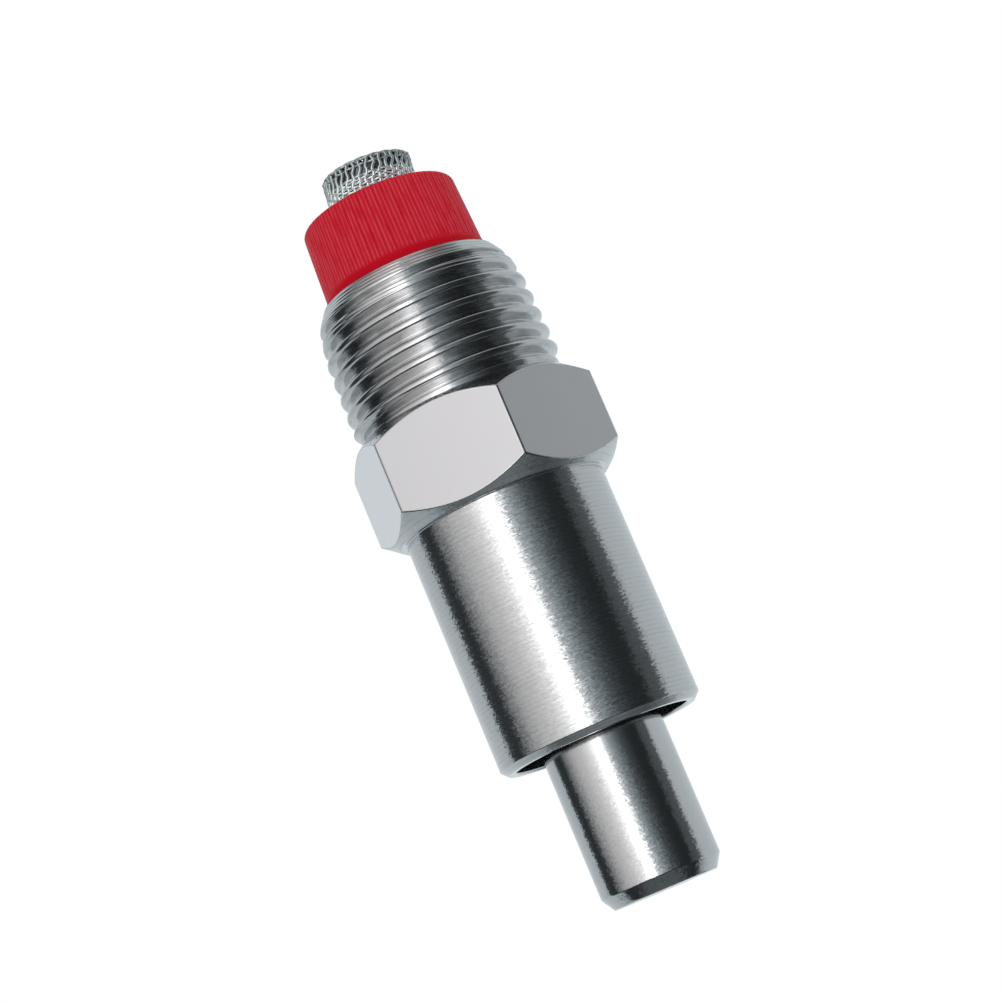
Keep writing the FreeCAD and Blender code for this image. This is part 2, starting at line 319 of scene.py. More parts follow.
def turnedSteel(tree):
    # feed marks of the turning tool round the axis, with facets that lean about;
    # the milled flats are plainer and carry painted light and shade that differs from flat to flat, and the
    # thread is plainer but stained
    look = steelLook
    place = tree.place()
    height = tree.part(place, 2)
    milled = tree.mask("milled")
    flat = tree.smooth(milled, *look["flatLevels"])
    thread = tree.smooth(height, *look["threadHeights"])
    inlet = tree.smooth(height, *look["inletHeights"]) * look["inletWear"] + look["wear"]
    x, y = tree.part(place, 0), tree.part(place, 1)
    outside = tree.smooth((x * x + y * y).math("SQRT"), *look["skinRadii"])
    wander = tree.noise(tree.stretched(place, look["wanderScale"]))
    wide = (height * (2 * math.pi / look["ringPitch"]) + wander * look["ringWander"]).math("SINE")
    fine = (height * (2 * math.pi / look["finePitch"]) + wander * look["fineWander"]).math("SINE")
    marks = tree.smooth(wide * look["ringShare"] + fine * (1 - look["ringShare"]), *look["markLevels"])
    streak = tree.noise(tree.stretched(place, look["streakScale"]), detail=3.0, roughness=0.6)
    streaked = tree.atLeast(look["betweenStreaks"], tree.smooth(streak, *look["streakLevels"]))
    wear = marks * streaked * inlet + streak * look["streakWear"]
    metal = tree.blend(wear, look["colour"], look["dullColour"])
    stain = tree.noise(tree.stretched(place, look["stainScale"]), detail=3.0, roughness=0.6)
    stain = tree.smooth(stain, *look["stainLevels"]) * thread * look["tarnishShare"]
    metal = tree.blend(stain, metal, look["tarnish"])
    # painted light and shade: each flat is made lighter or darker for the way it faces the light
    flats = tree.blend(tree.smooth(milled, *look["flatLightLevels"]), look["flatShadeColour"], look["flatLightColour"])
    cloud = tree.noise(place, look["cloudScale"])
    lean = tree.noise(tree.stretched(place, look["leanScale"]), detail=1.0) * look["facetTilt"]
    lean = lean * tree.atLeast(look["flatLean"], 1.0 - flat) * tree.atLeast(look["threadLean"], 1.0 - thread)
    lean = lean * tree.atLeast(look["boreLean"], outside)
    roughness = cloud * look["cloudRoughness"] + look["roughness"]
    return {
        "Base Color": tree.blend(flat, metal, flats),
        "Metallic": 1.0,
        "Roughness": roughness + flat * (look["milledRoughness"] - look["roughness"]),
        "Normal": tree.facets(tree.stretched(place, look["facetScale"]), lean),
    }


def pinSteel(tree):
    # ground steel: bright and plain, with facets that scatter the light at the edge of its reflections
    look = steelLook
    place = tree.place()
    grain = tree.noise(place, look["grainScale"], detail=1.0, roughness=0.6)
    bare = tree.smooth(tree.part(place, 2) * -1.0, *look["pinDepths"])
    cloud = tree.noise(place, look["cloudScale"])
    lean = grain * tree.atLeast(look["pinTopLean"], bare) * look["pinFacetTilt"]
    return {
        "Base Color": tree.blend(grain, look["colour"], look["pinGrainColour"]),
        "Metallic": 1.0,
        "Roughness": look["pinRoughness"] + cloud * look["cloudRoughness"],
        "Normal": tree.facets(tree.stretched(place, look["pinFacetScale"]), lean),
    }


capLook = {
    "colour": (0.475, 0.001, 0.011, 1),
    # painted highlight colour of the ribs
    "ribHighlightColour": (0.62, 0.056, 0.084, 1),
    "roughness": 0.34, "cloudRoughness": 0.12,
    "specular": 0.07,
    "ribs": 60,
    "edgeWave": 0.70, "edgeReach": (0.04, 0.22),        # where a rib's edges lie on the wave below
    # how pale the painted highlight on the ribs is: on the whole, added on the edges, and the share that is
    # left between the patches of its noise
    "ribSheen": 0.25, "edgeGlint": 0.8, "betweenPatches": 0.35,
    "patchScale": (2.4, 2.4, 0.5), "patchLevels": (0.30, 0.62),
    "cloudScale": 0.5, "bumpScale": 9.0, "bumpDepth": 0.006,
}


def capPlastic(tree):
    # moulded red plastic with a painted highlight: paler on both edges of each rib, where the ribs glint,
    # and a little paler over all the ribs:
    # wave = |cos(ribs * angle / 2)| is 1 on the middle of a rib and 0 in the valley
    look = capLook
    place = tree.place()
    cloud = tree.noise(place, look["cloudScale"], detail=3.0)
    patches = tree.noise(tree.stretched(place, look["patchScale"]), detail=3.0)
    patchy = tree.atLeast(look["betweenPatches"], tree.smooth(patches, *look["patchLevels"]))
    angle = tree.part(place, 1).math("ARCTAN2", tree.part(place, 0))
    wave = (angle * (look["ribs"] / 2)).math("COSINE").math("ABSOLUTE")
    edges = 1.0 - tree.smooth((wave - look["edgeWave"]).math("ABSOLUTE"), *look["edgeReach"])
    # painted highlight: the ribs' glints and sheen put into the colour, broken into patches
    paintedLight = tree.mask("crest") * (edges * look["edgeGlint"] + look["ribSheen"]) * patchy
    return {
        "Base Color": tree.blend(paintedLight, look["colour"], look["ribHighlightColour"]),
        "Roughness": look["roughness"] + cloud * look["cloudRoughness"],
        "Specular IOR Level": look["specular"],
        "Normal": tree.bump(tree.noise(place, look["bumpScale"]), mm * look["bumpDepth"]),
    }


wireLook = {
    "springDark": (0.50, 0.52, 0.52, 1),
    "springBright": (0.72, 0.73, 0.72, 1),
    "gauzeDark": (0.36, 0.40, 0.41, 1),
    "gauzeBright": (0.88, 1.0, 1.0, 1),
    # painted shade: the colours of the near-black inner sheet
    "shadeSheetDark": (0.03, 0.035, 0.038, 1),
    "shadeSheetBright": (0.20, 0.23, 0.24, 1),
    "paintedLightHeights": (24.9, 23.5),      # down the gauze, from plain to the full painted light that makes the lower wires lighter
    "cloudShare": 0.4, "paintedLightShare": 0.7,      # how much of that brightness each brings
    "gauzeMetallic": 0.8, "springRoughness": 0.20, "gauzeRoughness": 0.27, "cloudRoughness": 0.15,
    "springCloudScale": 1.4, "gauzeCloudScale": 1.6, "shadeSheetScale": 5.0,
    "bumpScale": 8.0, "springBump": 0.004, "gauzeBump": 0.006,
}


def wireSteel(tree):
    # drawn spring wire with faint clouds
    look = wireLook
    place = tree.place()
    cloud = tree.noise(place, look["springCloudScale"], detail=3.0)
    return {
        "Base Color": tree.blend(cloud, look["springDark"], look["springBright"]),
        "Metallic": 1.0,
        "Roughness": look["springRoughness"] + cloud * look["cloudRoughness"],
        "Normal": tree.bump(tree.noise(place, look["bumpScale"]), mm * look["springBump"]),
    }


def gauzeSteel(tree):
    # bright wire over a near-black inner sheet, painted shade that stands in for the shade inside the cup
    look = wireLook
    place = tree.place()
    cloud = tree.noise(place, look["gauzeCloudScale"], detail=3.0)
    # painted light: the wires are made lighter towards the foot of the gauze, fully below the second height
    plain, paintedLight = look["paintedLightHeights"]
    low = tree.smooth(tree.part(place, 2) * -1.0, -plain, -paintedLight)
    bright = cloud * look["cloudShare"] + low * look["paintedLightShare"]
    wire = tree.blend(bright, look["gauzeDark"], look["gauzeBright"])
    # painted shade on the inner sheet
    shadeSheet = tree.blend(tree.noise(place, look["shadeSheetScale"]), look["shadeSheetDark"], look["shadeSheetBright"])
    return {
        "Base Color": tree.blend(tree.mask("lining"), wire, shadeSheet),
        "Metallic": look["gauzeMetallic"],
        "Roughness": look["gauzeRoughness"] + cloud * look["cloudRoughness"],
        "Normal": tree.bump(tree.noise(place, look["bumpScale"]), mm * look["gauzeBump"]),
    }


rubberLook = {
    "dark": (0.018, 0.018, 0.019, 1),
    "worn": (0.035, 0.035, 0.036, 1),
    "roughness": 0.55, "cloudRoughness": 0.2,
    "cloudScale": 2.0, "bumpScale": 12.0, "bumpDepth": 0.01,
}


def sealRubber(tree):
    # matt black rubber, a little greyer in clouds
    look = rubberLook
    place = tree.place()
    cloud = tree.noise(place, look["cloudScale"], detail=3.0)
    return {
        "Base Color": tree.blend(cloud, look["dark"], look["worn"]),
        "Roughness": look["roughness"] + cloud * look["cloudRoughness"],
        "Normal": tree.bump(tree.noise(place, look["bumpScale"]), mm * look["bumpDepth"]),
    }


materials = {
    "turned": newMaterial("turnedSteel", turnedSteel),
    "pin": newMaterial("pinSteel", pinSteel),
    "cap": newMaterial("capPlastic", capPlastic),
    "wire": newMaterial("wireSteel", wireSteel),
    "gauze": newMaterial("gauzeSteel", gauzeSteel),
    "rubber": newMaterial("sealRubber", sealRubber),
}
print("materials made")


# Steel body: thread, hexagon, barrel and bores as one closed sheet

bodySizes = {
    # thread: a 55 degree groove on a 1 in 16 taper, gauged at gaugeLength below the inlet's end
    "threadPitch": 1.814, "threadDepth": 1.162, "threadStart": 1.47, "threadEnd": 0.3, "flankAngle": 27.5,
    "gaugeRadius": 10.4775, "gaugeLength": 8.2, "taper": 1 / 32,
    "crestRound": 0.32, "crestLift": 0.04, "rootRound": 0.12, "rowsPerPitch": 24,
    # turned cones at both ends of the thread
    "inletRadius": 8.8, "leadInLength": 1.5, "leadInDrop": 0.5, "runInLength": 3.0, "coneRound": 0.06,
    "turnedPitch": 0.36, "turnedDepth": 0.03,
    "neckRadius": 10.13, "neckLength": 1.6, "neckEnd": 0.2, "neckSlope": 0.5, "neckRound": 0.03,
    "neckReach": 0.4, "clearRadius": 99,        # past this reach the neck's cone is clear of the thread
    # hexagon
    "halfFlats": 11.0, "hexLength": 10.2, "cornerRound": 0.28, "faceRadius": 10.5, "bevelAngle": 39,
    "cornerColumns": [0, 0.35, 0.7, 1.0], "flatStart": 1.25, "flatColumns": 20, "bevelRows": [0.1, 0.5, 0.9],
    "flatPaintedLight": [0.8, 0.7, 0.8, 1.0, 0.5, 0.69],      # painted light and shade: how light each flat is made, from +X round
    # barrel and bores
    "barrelRadius": 9.9, "rimChamfer": 0.6, "mouthRadius": 8.5, "lipChamfer": 0.12,
    "seatTop": -3.8, "seatEnd": -7.3, "seatHoleRadius": 6.5, "chamberRadius": 7.5,
    "edge": 0.1, "step": 2.2,
}


def softMin(a, b, width):
    # (a + b - sqrt((a - b)^2 + width^2)) / 2, which rounds the corner where a meets b
    return 0.5 * (a + b - np.sqrt((a - b) ** 2 + width ** 2))


def hexAngles(sizes):
    # columns close together at the six rounded corners and even along the flats; the corner's circle
    # has its centre at the radius centre and meets the flats at the angle touch from the corner
    centre = (sizes["halfFlats"] - sizes["cornerRound"]) / math.cos(math.pi / 6)
    side = sizes["cornerRound"] * math.sin(math.pi / 6)
    touch = math.atan2(side, centre + sizes["cornerRound"] * math.cos(math.pi / 6))
    corner = touch * np.array(sizes["cornerColumns"])
    flat = np.linspace(touch * sizes["flatStart"], math.pi / 6, sizes["flatColumns"])
    half = np.concatenate([corner, flat])
    sector = np.concatenate([-half[:0:-1], half[:-1]])
    return (math.pi / 6 + sector[None, :] + np.arange(6)[:, None] * math.pi / 3).ravel(), touch, centre


def hexRadius(angle, sizes, touch, centre):
    # flats: halfFlats / cos(angle from the flat's middle);
    # corners: the far side of a circle tangent to both flats
    away = np.abs(np.mod(angle, math.pi / 3) - math.pi / 6)
    flat = sizes["halfFlats"] / np.cos(math.pi / 6 - away)
    inside = np.clip(sizes["cornerRound"] ** 2 - (centre * np.sin(away)) ** 2, 0, None)
    return np.where(away < touch, centre * np.cos(away) + np.sqrt(inside), flat)


def crestRadius(depth, sizes):
    # the tapered crest line's radius at a depth below the inlet's end
    return sizes["gaugeRadius"] + (depth - sizes["gaugeLength"]) * sizes["taper"]


def threadRadius(angle, height, sizes, top):
    # crest line less a V groove whose root climbs one pitch each turn, under the lead-in and neck cones
    depth = top - height
    crest = crestRadius(depth, sizes)
    turns = (height - sizes["threadStart"]) / sizes["threadPitch"] - angle / (2 * math.pi)
    away = np.abs(turns - np.round(turns)) * sizes["threadPitch"]
    bottom = crest - sizes["threadDepth"]
    flank = bottom + away / math.tan(math.radians(sizes["flankAngle"]))
    groove = softMin(flank, crest + sizes["crestLift"], sizes["crestRound"])
    groove = -softMin(-groove, -bottom - sizes["rootRound"] * 0.5, sizes["rootRound"])
    inlet, leadIn, runIn = sizes["inletRadius"], sizes["leadInLength"], sizes["runInLength"]
    leadRadius = crestRadius(leadIn, sizes) - sizes["leadInDrop"]
    lead = inlet + depth * (leadRadius - inlet) / leadIn
    run = leadRadius + (depth - leadIn) * (crestRadius(leadIn + runIn, sizes) - leadRadius) / runIn
    lines = sizes["turnedDepth"] * np.sin(height * 2 * math.pi / sizes["turnedPitch"])
    lead = softMin(lead, run, sizes["coneRound"]) + lines
    rise = (crestRadius(top - sizes["neckLength"], sizes) - sizes["neckRadius"]) / sizes["neckSlope"]
    neck = sizes["neckRadius"] + np.maximum(height - sizes["neckLength"] + sizes["neckSlope"], 0) * rise
    neck = np.where(height > sizes["neckLength"] + sizes["neckReach"], sizes["clearRadius"], neck)
    return softMin(softMin(groove, lead, sizes["coneRound"]), neck, sizes["neckRound"])


def steelBody(sizes):
    # one closed outline of (radius, height) rings, from the inlet's rim over the outside
    # and back through the bores; the thread and the hexagon vary round the ring
    angle, touch, centre = hexAngles(sizes)
    top, mouth = bodyHigh.z, bodyLow.z
    edge, step = sizes["edge"], sizes["step"]
    wide = np.ones((1, len(angle)))
    blocks = []

    def addRings(corners):
        line = softLine(corners, step, edge)
        blocks.append((line[:, :1] * wide, line[:, 1:] * wide, 0 * line[:, :1] * wide))

    addRings([(sizes["chamberRadius"], top), (sizes["inletRadius"], top)])

    # thread
    threadEnd, neckEnd = sizes["threadEnd"], sizes["neckEnd"]
    rows = math.ceil((top - threadEnd) / sizes["threadPitch"] * sizes["rowsPerPitch"])
    height = np.linspace(top - edge, threadEnd, rows)[:, None] * wide
    blocks.append((threadRadius(angle[None, :], height, sizes, top), height, 0 * height))

    # hexagon: each face's corners are cut back by a cone
    face, back = sizes["faceRadius"], -sizes["hexLength"]
    addRings([(sizes["neckRadius"], neckEnd), (sizes["neckRadius"], 0), (face, 0)])
    reach = hexRadius(angle, sizes, touch, centre)[None, :]
    drop = (reach - face) * math.tan(math.radians(sizes["bevelAngle"]))
    bevel = np.array(sizes["bevelRows"])[:, None]
    blocks.append((face + bevel * (reach - face), -bevel * drop, 0 * bevel * wide))
    length = sizes["hexLength"] - 2 * drop
    near = edge / length
    side = np.concatenate([0 * near, near, 0 * near + 0.5, 1 - near, 0 * near + 1])
    # the flats' mask also carries the painted light of each flat
    paintedFlatLight = np.array(sizes["flatPaintedLight"])[np.round(angle / (math.pi / 3)).astype(int) % 6]
    milled = np.array([0, 1, 1, 1, 0])[:, None] * paintedFlatLight[None, :]
    blocks.append((reach + 0 * side, -drop - side * length, milled))
    bevel = 1 - bevel
    blocks.append((face + bevel * (reach - face), back + bevel * drop, 0 * bevel * wide))

    # barrel, mouth, seat and chamber
    outer, inner, chamber = (sizes[n + "Radius"] for n in ("barrel", "mouth", "chamber"))
    hole, seatTop, seatEnd = sizes["seatHoleRadius"], sizes["seatTop"], sizes["seatEnd"]
    rim, lip = sizes["rimChamfer"], sizes["lipChamfer"]
    addRings([
        (face, back), (outer, back), (outer, mouth + rim), (outer - rim, mouth), (inner + lip, mouth),
        (inner, mouth + lip), (inner, seatEnd), (hole, seatEnd), (hole, seatTop), (chamber, seatTop),
        (chamber, top - edge),
    ])
    radius, height, milled = (np.concatenate(column) for column in zip(*blocks))
    points = roundGrid(radius, height, angle[None, :])
    return points, gridQuads(len(radius), len(angle), True), milled


points, quads, milled = steelBody(bodySizes)
addPiece(
    "steelBody", points, quads, materials["turned"],
    "drinker_body", ["steel_body"], {"milled": milled},
)


# Pin with its flange and boss

pinSizes = {
    "radius": 5.85, "chamferWidth": 0.8, "chamferHeight": 1.3,
    "flangeRadius": 7.1, "flangeBase": -2.2, "flangeTop": -0.2, "bossRadius": 4.6,
    "columns": 160, "edge": 0.14, "step": 2.0,
}


def nipplePin(sizes):
    # the outline from the boss down to the tip, turned about the axis
    tip, top = pinLow.z, pinHigh.z
    radius, flange, boss = sizes["radius"], sizes["flangeRadius"], sizes["bossRadius"]
    line = softLine([
        (0, top), (boss, top), (boss, sizes["flangeTop"]), (flange, sizes["flangeTop"]),
        (flange, sizes["flangeBase"]), (radius, sizes["flangeBase"]), (radius, tip + sizes["chamferHeight"]),
        (radius - sizes["chamferWidth"], tip), (0, tip),
    ], sizes["step"], sizes["edge"])
    return turned(line, sizes["columns"], False)


points, quads = nipplePin(pinSizes)
addPiece("nipplePin", points, quads, materials["pin"], "nipple", ["nipple_pin"])


# Regulator cap

capSizes = {
    "topRadius": 7.75, "baseRadius": 8.05, "shoulder": 0.55, "shoulderRings": 12, "crown": 0.2,
    "collarRadius": 8.1, "collarHeight": 0.9, "collarGap": 0.02, "holeRadius": 4.75,
    # the ribs fade in over ribFade from ribInset outside the hole, and over ribRise above the collar
    "ribs": capLook["ribs"], "columnsPerRib": 14, "ribDepth": 0.11, "valleyShare": 0.5, "valleyPower": 0.8,
    "ribInset": 0.6, "ribFade": 1.2, "ribRise": 0.4, "topFade": 0.7, "topShare": 0.15,
    "closeGap": 0.1, "closeRings": 6,           # rings close together where the ribs begin
    "spigotRadius": 7.45, "spigotChamfer": 0.5, "recessRadius": 6.5, "recessDepth": 1.0,
    "edge": 0.08, "step": 1.6,
}


def regulatorCap(sizes):
    # the outline turned about the axis, less a row of valleys between ribs with plain crests:
    # wave = |cos(ribs * angle / 2)|,
    # valley = depth * ribs' mask * (1 - wave / valleyShare) ^ valleyPower where that is above 0
    top, end, inlet = capHigh.z, capLow.z, bodyHigh.z
    base = inlet + sizes["collarHeight"]
    step, edge = sizes["step"], sizes["edge"]
    bend = np.radians(np.linspace(90, 0, sizes["shoulderRings"]))
    shoulder = np.stack([
        sizes["topRadius"] - sizes["shoulder"] * (1 - np.cos(bend)),
        top - sizes["crown"] - sizes["shoulder"] * (1 - np.sin(bend)),
    ], -1)
    upper = softLine([(sizes["holeRadius"], top), tuple(shoulder[0])], step, edge)[:-1]
    foot = (sizes["baseRadius"], base + sizes["collarGap"])
    side = softLine([tuple(shoulder[-1]), foot], step, edge)[1:]
    ribbed = np.concatenate([upper, shoulder, side])
    close = base + sizes["closeGap"] * np.arange(sizes["closeRings"], 0, -1)
    wall = np.interp(close, [base, shoulder[-1][1]], [sizes["baseRadius"], sizes["topRadius"]])
    above = ribbed[:, 1] > base + sizes["closeGap"] * (sizes["closeRings"] + 0.5)
    ribbed = np.concatenate([ribbed[above], np.stack([wall, close], -1), ribbed[-1:]])
    collar, spigot, recess, hole = (sizes[n + "Radius"] for n in ("collar", "spigot", "recess", "hole"))
    chamfer, recessTop = sizes["spigotChamfer"], end + sizes["recessDepth"]
    smooth = softLine([
        (collar, base), (collar, inlet), (spigot, inlet), (spigot, end + chamfer), (spigot - chamfer, end),
        (recess, end), (recess, recessTop), (hole, recessTop), (hole, top - edge),
    ], step, edge)
    line = np.concatenate([ribbed, smooth])
    mask = np.clip((ribbed[:, 0] - hole - sizes["ribInset"]) / sizes["ribFade"], 0, 1)
    mask *= np.clip((ribbed[:, 1] - base) / sizes["ribRise"], 0, 1)
    mask *= np.clip((top - ribbed[:, 1]) / sizes["topFade"], sizes["topShare"], 1)
    mask = np.concatenate([mask, np.zeros(len(smooth))])[:, None]
    angle = evenAngles(sizes["ribs"] * sizes["columnsPerRib"])[None, :]
    wave = np.abs(np.cos(angle * sizes["ribs"] / 2))
    valley = np.clip(1 - wave / sizes["valleyShare"], 0, 1) ** sizes["valleyPower"]
    points = roundGrid(line[:, :1] - sizes["ribDepth"] * mask * valley, line[:, 1:], angle)
    return points, gridQuads(len(line), angle.shape[1], True), mask + 0 * angle


points, quads, crest = regulatorCap(capSizes)
addPiece(
    "regulatorCap", points, quads, materials["cap"],
    "cap_set", ["regulator_cap"], {"crest": crest},
)


# Strainer of woven wire

strainerSizes = {
    "radius": 4.6, "weave": 0.10, "sides": 6, "cornerRound": 0.32,
    # uprights lean by slant over slantLength, and wander a little as they climb
    "uprights": 40, "uprightRadius": 0.19, "uprightWeave": 0.08, "weaveFade": 0.3,
    "foot": 0.3, "climbSteps": 90, "cornerSteps": 8, "lidSteps": 8, "lidHole": 0.7,
    "slant": 0.11, "slantBase": 23.5, "slantLength": 2,
    "wander": 0.022, "wanderTurns": 4.5, "wanderShift": 2.4,
    # hoops stand hoopGap apart, with three more at topHoops below the lid's top and some under the lid
    "hoopRadius": 0.13, "hoopBase": 0.8, "hoopGap": 0.33, "hoopTop": 24.4, "topHoops": [0.9, 0.36, 0.16],
    "tuckBelow": 0.3, "tuck": 0.22, "stepsPerUpright": 5,
    "lidHoops": [1.0, 2.0, 3.0], "lidHoopDepth": 0.494, "lidHoopSteps": 72,
    # the near-black inner sheet, which stands in for the shade inside the cup, and rim, both turned
    "liningGap": 0.16, "liningTop": 0.45, "liningCorner": 0.4, "liningWall": 0.06, "liningStep": 2.0,
    "rimRadius": 6.2, "rimThickness": 0.6, "rimInset": 0.2, "rimLap": 0.01, "rimStep": 1.5,
    "columns": 96, "edge": 0.05,
    # the end that stands out is bent
    "lean": 0.40, "drop": 0.35, "nearDrop": 0.35,
}


def tubes(paths, radius, sides, closed):
    # circles of the radius carried along many paths at once: paths is (path, step, 3);
    # each circle is set by the way from the axis, with a trace of up for a point on the axis
    ahead = np.roll(paths, -1, 1) - np.roll(paths, 1, 1)
    if not closed:
        ahead[:, 0] = paths[:, 1] - paths[:, 0]
        ahead[:, -1] = paths[:, -1] - paths[:, -2]
    ahead /= np.linalg.norm(ahead, axis=-1, keepdims=True)
    outward = paths * np.array([1, 1, 0.0]) + np.array([0, 0, 1e-3])
    side = np.cross(ahead, outward)
    side /= np.linalg.norm(side, axis=-1, keepdims=True)
    up = np.cross(side, ahead)
    turn = evenAngles(sides)
    ring = side[:, :, None] * np.cos(turn)[:, None] + up[:, :, None] * np.sin(turn)[:, None]
    points = paths[:, :, None] + radius * ring
    if not closed:    # a centre point shuts each end
        ends = np.repeat(paths[:, [0, -1]][:, :, None], sides, 2)
        points = np.concatenate([ends[:, :1], points, ends[:, 1:]], 1)
    count, steps = points.shape[:2]
    one = gridQuads(steps, sides, closed)
    quads = (np.arange(count)[:, None, None] * steps * sides + one[None]).reshape(-1, 4)
    return points.reshape(-1, 3), quads


def cupHoops(sizes, low, high, reach):
    # hoops round the cup that weave over and under the uprights:
    # radius = reach + weave * cos(uprights * angle / 2 + half a turn for every other hoop)
    side = np.arange(low + sizes["hoopBase"], sizes["hoopTop"], sizes["hoopGap"])
    heights = np.concatenate([side, high - np.array(sizes["topHoops"])])[:, None]
    # the last one is tucked in, on the round corner
    tuck = np.where(heights > high - sizes["tuckBelow"], sizes["tuck"], 0.0)
    angle = evenAngles(sizes["uprights"] * sizes["stepsPerUpright"])[None, :]
    sign = np.where(np.arange(len(heights)) % 2, -1.0, 1.0)[:, None]
    radius = reach - tuck + sign * sizes["weave"] * np.cos(angle * sizes["uprights"] / 2)
    return roundGrid(radius, heights, angle).reshape(len(heights), -1, 3)


def cupUprights(sizes, low, high, reach):
    # wires up the side, round the corner and over the lid, that weave in and out of the hoops:
    # radius = reach - uprightWeave * cos((height - first hoop) * pi / hoopGap), every other one reversed
    thick, corner, count = sizes["uprightRadius"], sizes["cornerRound"], sizes["uprights"]
    climb = np.linspace(low + sizes["foot"], high - corner - thick, sizes["climbSteps"])
    bend = np.radians(np.linspace(0, 90, sizes["cornerSteps"]))[1:]
    across = np.linspace(reach - corner, sizes["lidHole"], sizes["lidSteps"])[1:]
    radius = np.concatenate([reach + 0 * climb, reach - corner * (1 - np.cos(bend)), across])[None, :]
    lid = high - thick
    height = np.concatenate([climb, lid - corner * (1 - np.sin(bend)), lid + 0 * across])[None, :]
    wire = np.arange(count)[:, None]
    slanted = np.clip((height - sizes["slantBase"]) / sizes["slantLength"], 0, 1)
    wandering = np.sin(height * sizes["wanderTurns"] + wire * sizes["wanderShift"])
    turn = evenAngles(count)[:, None] + sizes["slant"] * slanted + sizes["wander"] * wandering
    other = np.where(wire % 2, -1.0, 1.0)
    crossing = (height - low - sizes["hoopBase"]) * math.pi / sizes["hoopGap"]
    wave = other * sizes["uprightWeave"] * np.cos(crossing)
    wave *= np.clip((sizes["hoopTop"] - height) / sizes["weaveFade"], 0, 1)
    return roundGrid(radius - wave, height, turn).reshape(count, -1, 3)


def bendEnd(points, sizes, high):
    # over to the camera's right, and down on that side and in front,
    # all in proportion to the height above the cap
    share = np.clip((points[:, 2] - capHigh.z) / (high - capHigh.z), 0, 1)
    across, forward = points @ cameraRight, points @ towardsCamera
    points[:, 2] -= share * sizes["drop"] * (across / sizes["radius"] + 1) / 2
    points[:, 2] -= share * sizes["nearDrop"] * (forward / sizes["radius"] + 1) / 2
    return points + share[:, None] * sizes["lean"] * cameraRight


def strainerCup(sizes):
    # woven hoops and uprights with rings on the lid, over a plain near-black sheet that stands in for the
    # shade inside, and a flat rim at the foot
    low, high = strainerLow.z, strainerHigh.z
    reach = sizes["radius"] - sizes["uprightRadius"] - sizes["weave"]
    disc = np.array(sizes["lidHoops"])[:, None]
    lidAngle = evenAngles(sizes["lidHoopSteps"])[None, :]
    lidHoops = roundGrid(disc, high - sizes["lidHoopDepth"], lidAngle).reshape(len(disc), -1, 3)
    inner, corner, wall = reach - sizes["liningGap"], sizes["liningCorner"], sizes["liningWall"]
    lid, foot = high - sizes["liningTop"], low + sizes["foot"]
    lining = softLine([
        (0, lid), (inner - corner, lid), (inner, lid - corner), (inner, foot), (inner - wall, foot),
        (inner - wall, lid - corner - wall / 2), (inner - corner - wall / 2, lid - wall), (0, lid - wall),
    ], sizes["liningStep"], sizes["edge"])
    rimOut, rimIn, rimTop = sizes["rimRadius"], inner - sizes["rimInset"], low + sizes["rimThickness"]
    rim = softLine([
        (rimOut, rimTop), (rimOut, low), (rimIn, low), (rimIn, rimTop), (rimOut - sizes["rimLap"], rimTop),
    ], sizes["rimStep"], sizes["edge"])
    wires = [
        tubes(cupHoops(sizes, low, high, reach), sizes["hoopRadius"], sizes["sides"], True),
        tubes(cupUprights(sizes, low, high, reach), sizes["uprightRadius"], sizes["sides"], False),
        tubes(lidHoops, sizes["hoopRadius"], sizes["sides"], True),
        turned(rim[:-1], sizes["columns"], True),
    ]
    sheet = turned(lining, sizes["columns"], False)
    points, quads = joinParts(wires + [sheet])
    shade = np.zeros(len(points))
    shade[-len(sheet[0]):] = 1
    return bendEnd(points, sizes, high), quads, shade


points, quads, shade = strainerCup(strainerSizes)
addPiece(
    "strainerCup", points, quads, materials["gauze"],
    "strainer_set", ["strainer"], {"lining": shade},
)


# Return spring of round wire

springSizes = {
    "coilRadius": 5.3, "wireRadius": 0.4, "turns": 3, "endTurn": 0.75, "endRise": 2.2, "clearance": 0.02,
    "stepsPerTurn": 48, "sides": 12, "push": 2.5,
}


def returnSpring(sizes):
    # angle = 2 pi turns t, height = smooth climb between two flat end turns
    wire, endTurn = sizes["wireRadius"], sizes["endTurn"]
    low, high = springLow.z + wire + sizes["clearance"], springHigh.z - wire - sizes["clearance"]
    total = sizes["turns"] + 2 * endTurn
    t = np.linspace(0, 1, int(total * sizes["stepsPerTurn"]))
    climb = np.clip((t * total - endTurn) / sizes["turns"], 0, 1)
    flatPart = sizes["endRise"] * wire * endTurn
    lift = np.clip(t * total / endTurn, 0, 1) + np.clip((t * total - total) / endTurn + 1, 0, 1)
    height = low + flatPart * lift + climb * (high - low - 2 * flatPart)
    path = roundGrid(sizes["coilRadius"], height, 2 * math.pi * total * t)
    return tubes(path[None], wire, sizes["sides"], False)


points, quads = returnSpring(springSizes)
spring = addPiece(
    "returnSpring", points, quads, materials["wire"], "spring_set", ["return_spring"],
)
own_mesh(spring)

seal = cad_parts["seal_ring"]
seal.data.materials.clear()
seal.data.materials.append(materials["rubber"])


# Studio: white behind, a light strip a little to the camera's left, dark at its right

